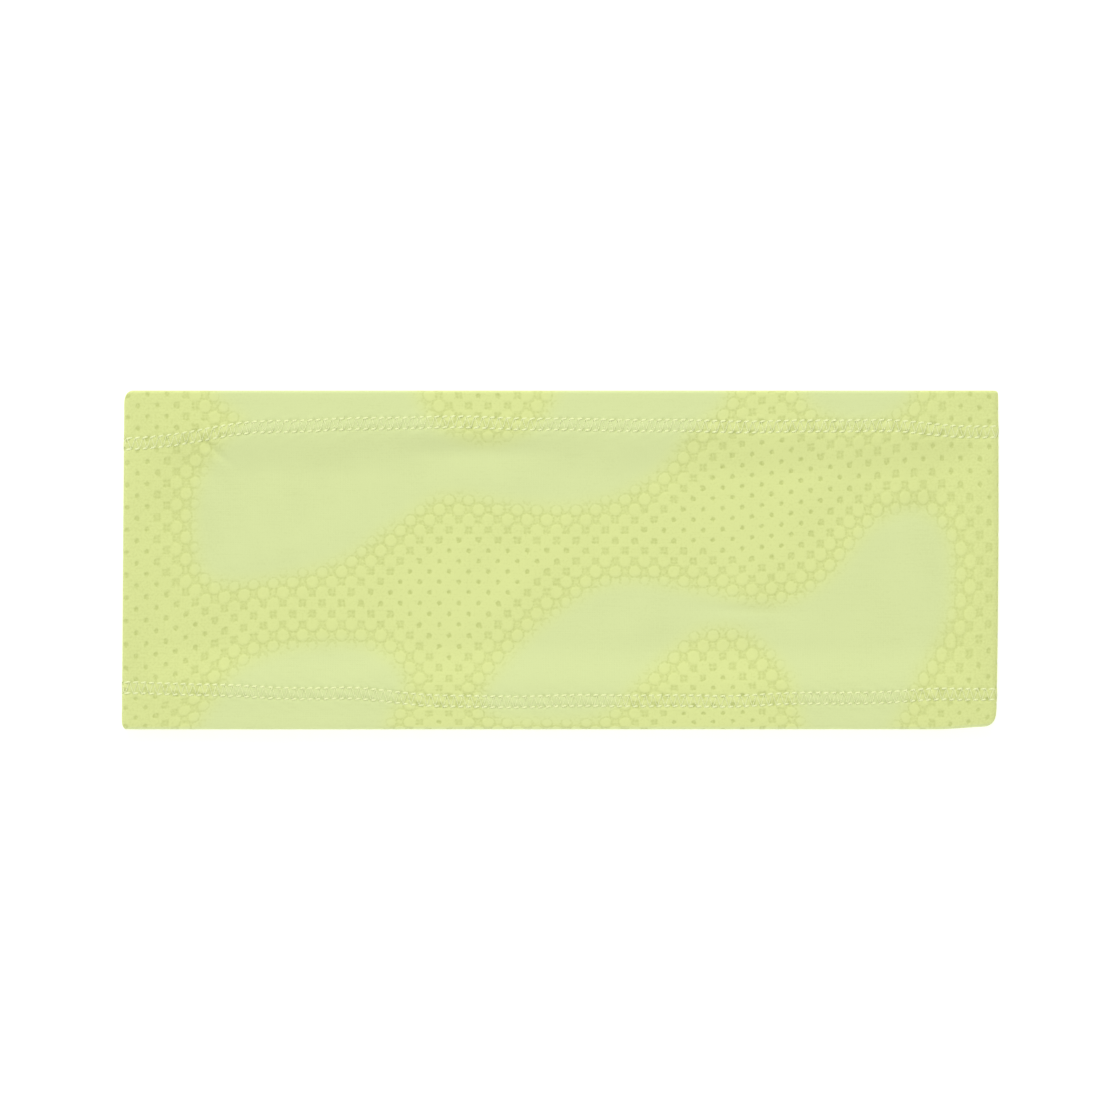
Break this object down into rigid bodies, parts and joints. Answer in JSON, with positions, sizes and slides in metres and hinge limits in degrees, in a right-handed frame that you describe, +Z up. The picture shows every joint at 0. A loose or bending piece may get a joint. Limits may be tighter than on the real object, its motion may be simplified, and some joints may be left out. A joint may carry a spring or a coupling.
{
  "type": "sports headband",
  "caption": "Wide stretch sports headband: a seamless knitted tube with coverstitched hems, pressed flat into a folded loop that opens for the head.",
  "frame": {"origin": "middle of the underside of the band as it lies flat", "axes": "+X along the flattened loop towards its right fold, +Y across the band towards its top hem, +Z up, out of the front face"},
  "size_m": [0.233, 0.09, 0.0036],
  "materials": {
    "knit": "matte two-tone jacquard knit, pale lime green",
    "thread": "lustrous textured polyester sewing thread, pale lime green"
  },
  "bodies": {
    "back_centre": {"knit_back_centre": "knit", "top_outer_needle_thread_back_centre": "thread", "top_inner_needle_thread_back_centre": "thread", "top_cover_thread_back_centre": "thread", "top_looper_thread_back_centre": "thread", "bottom_outer_needle_thread_back_centre": "thread", "bottom_inner_needle_thread_back_centre": "thread", "bottom_cover_thread_back_centre": "thread", "bottom_looper_thread_back_centre": "thread"},
    "back_left": {"knit_back_left": "knit", "top_outer_needle_thread_back_left": "thread", "top_inner_needle_thread_back_left": "thread", "top_cover_thread_back_left": "thread", "top_looper_thread_back_left": "thread", "bottom_outer_needle_thread_back_left": "thread", "bottom_inner_needle_thread_back_left": "thread", "bottom_cover_thread_back_left": "thread", "bottom_looper_thread_back_left": "thread", "knit_left_fold": "knit", "top_stitching_left_fold": "thread", "bottom_stitching_left_fold": "thread"},
    "back_right": {"knit_back_right": "knit", "top_outer_needle_thread_back_right": "thread", "top_inner_needle_thread_back_right": "thread", "top_cover_thread_back_right": "thread", "top_looper_thread_back_right": "thread", "bottom_outer_needle_thread_back_right": "thread", "bottom_inner_needle_thread_back_right": "thread", "bottom_cover_thread_back_right": "thread", "bottom_looper_thread_back_right": "thread", "knit_right_fold": "knit", "top_stitching_right_fold": "thread", "bottom_stitching_right_fold": "thread"},
    "front_left": {"knit_front_left": "knit", "top_outer_needle_thread_front_left": "thread", "top_inner_needle_thread_front_left": "thread", "top_cover_thread_front_left": "thread", "top_looper_thread_front_left": "thread", "bottom_outer_needle_thread_front_left": "thread", "bottom_inner_needle_thread_front_left": "thread", "bottom_cover_thread_front_left": "thread", "bottom_looper_thread_front_left": "thread"},
    "front_centre": {"knit_front_centre": "knit", "top_outer_needle_thread_front_centre": "thread", "top_inner_needle_thread_front_centre": "thread", "top_cover_thread_front_centre": "thread", "top_looper_thread_front_centre": "thread", "bottom_outer_needle_thread_front_centre": "thread", "bottom_inner_needle_thread_front_centre": "thread", "bottom_cover_thread_front_centre": "thread", "bottom_looper_thread_front_centre": "thread"},
    "front_right": {"knit_front_right": "knit", "top_outer_needle_thread_front_right": "thread", "top_inner_needle_thread_front_right": "thread", "top_cover_thread_front_right": "thread", "top_looper_thread_front_right": "thread", "bottom_outer_needle_thread_front_right": "thread", "bottom_inner_needle_thread_front_right": "thread", "bottom_cover_thread_front_right": "thread", "bottom_looper_thread_front_right": "thread"}
  },
  "joints": [
    {"name": "loop_open", "type": "hinge", "parent": "back_centre", "child": "back_left", "pos_m": [-0.03818, 0, 0.0018], "axis": [0, 1, 0], "range_deg": [0, 60]},
    {"name": "back_right_bend", "type": "hinge", "parent": "back_centre", "child": "back_right", "pos_m": [0.03818, 0, 0.0018], "axis": [0, -1, 0], "range_deg": [0, 60]},
    {"name": "left_fold_open", "type": "hinge", "parent": "back_left", "child": "front_left", "pos_m": [-0.11455, 0, 0.0018], "axis": [0, -1, 0], "range_deg": [0, 120], "deforming": ["knit_left_fold", "top_stitching_left_fold", "bottom_stitching_left_fold", "knit_right_fold", "top_stitching_right_fold", "bottom_stitching_right_fold"]},
    {"name": "front_left_bend", "type": "hinge", "parent": "front_left", "child": "front_centre", "pos_m": [-0.03818, 0, 0.0018], "axis": [0, 1, 0], "range_deg": [0, 60]},
    {"name": "front_right_bend", "type": "hinge", "parent": "front_centre", "child": "front_right", "pos_m": [0.03818, 0, 0.0018], "axis": [0, 1, 0], "range_deg": [0, 60]}
  ],
  "couplings": [
    {"joint": "back_right_bend", "follows": "loop_open", "ratio": 1},
    {"joint": "left_fold_open", "follows": "loop_open", "ratio": 2},
    {"joint": "front_left_bend", "follows": "loop_open", "ratio": 1},
    {"joint": "front_right_bend", "follows": "loop_open", "ratio": 1}
  ]
}
